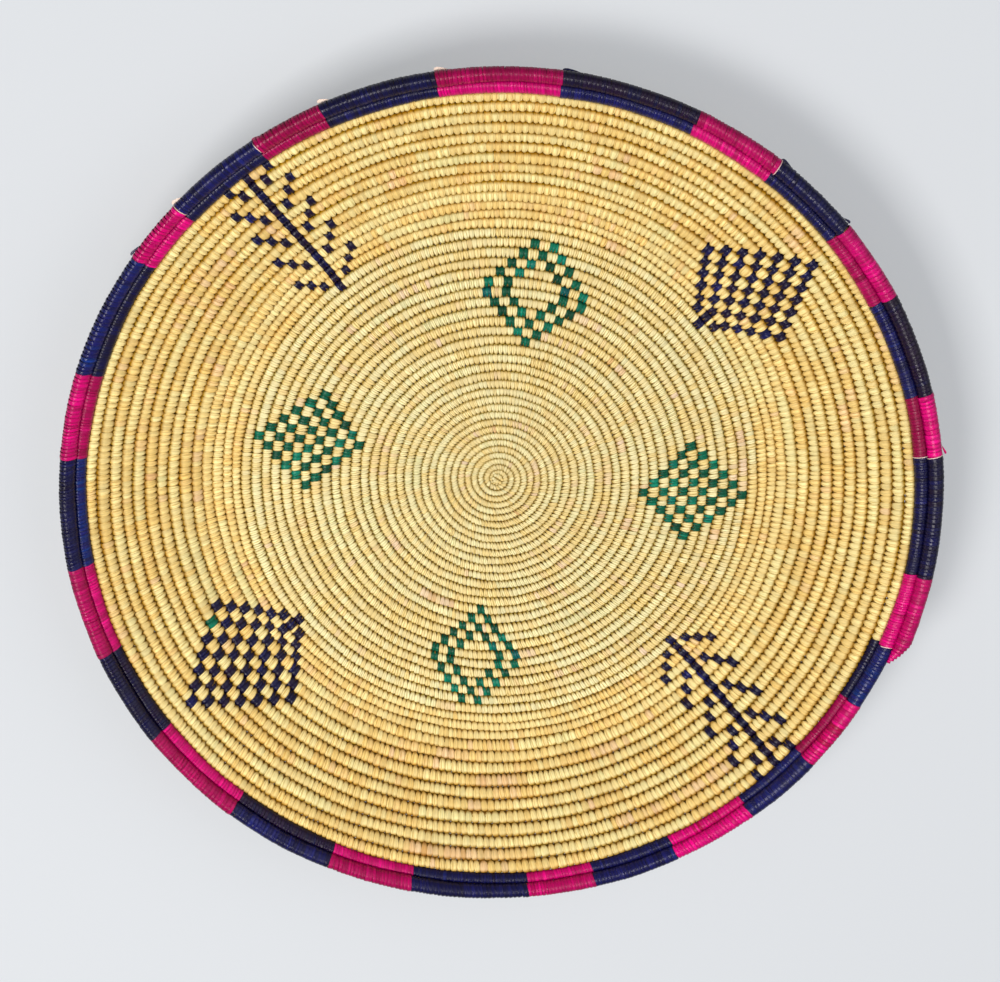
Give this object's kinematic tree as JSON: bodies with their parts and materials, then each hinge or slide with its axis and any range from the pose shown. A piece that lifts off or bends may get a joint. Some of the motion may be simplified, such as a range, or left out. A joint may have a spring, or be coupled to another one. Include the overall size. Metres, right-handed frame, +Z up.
{
  "type": "basket tray",
  "caption": "Round coiled palm-leaf tray with a flat base, a low flared wall and a rim of dyed blocks in two rows.",
  "frame": {"origin": "centre of the coil, on the surface that the tray stands on", "axes": "+Z up, out of the open dish; +Y towards the side with the open green diamond that the picture shows at its top; +X to the right of the picture"},
  "size_m": [0.3991, 0.3963, 0.0451],
  "materials": {
    "natural_leaf": "satin dried palm leaf",
    "navy_leaf": "glossy dyed palm leaf",
    "magenta_leaf": "glossy dyed palm leaf",
    "green_leaf": "glossy dyed palm leaf"
  },
  "bodies": {
    "root": {"coil_start": "natural_leaf", "base_coil": "natural_leaf", "wall_coil": "natural_leaf", "rim_magenta_01": "magenta_leaf", "rim_navy_01": "navy_leaf", "rim_magenta_02": "magenta_leaf", "rim_navy_02": "navy_leaf", "rim_magenta_03": "magenta_leaf", "rim_navy_03": "navy_leaf", "rim_magenta_04": "magenta_leaf", "rim_navy_04": "navy_leaf", "rim_magenta_05": "magenta_leaf", "rim_navy_05": "navy_leaf", "rim_magenta_06": "magenta_leaf", "rim_navy_06": "navy_leaf", "rim_magenta_07": "magenta_leaf", "rim_navy_07": "navy_leaf", "rim_magenta_08": "magenta_leaf", "rim_navy_08": "navy_leaf", "rim_magenta_09": "magenta_leaf", "rim_navy_09": "navy_leaf", "rim_magenta_10": "magenta_leaf", "rim_navy_10": "navy_leaf", "rim_magenta_11": "magenta_leaf", "rim_navy_11": "navy_leaf", "rim_magenta_12": "magenta_leaf", "rim_navy_12": "navy_leaf", "rim_magenta_13": "magenta_leaf", "rim_navy_13": "navy_leaf", "rim_magenta_14": "magenta_leaf", "rim_navy_14": "navy_leaf"}
  },
  "joints": []
}
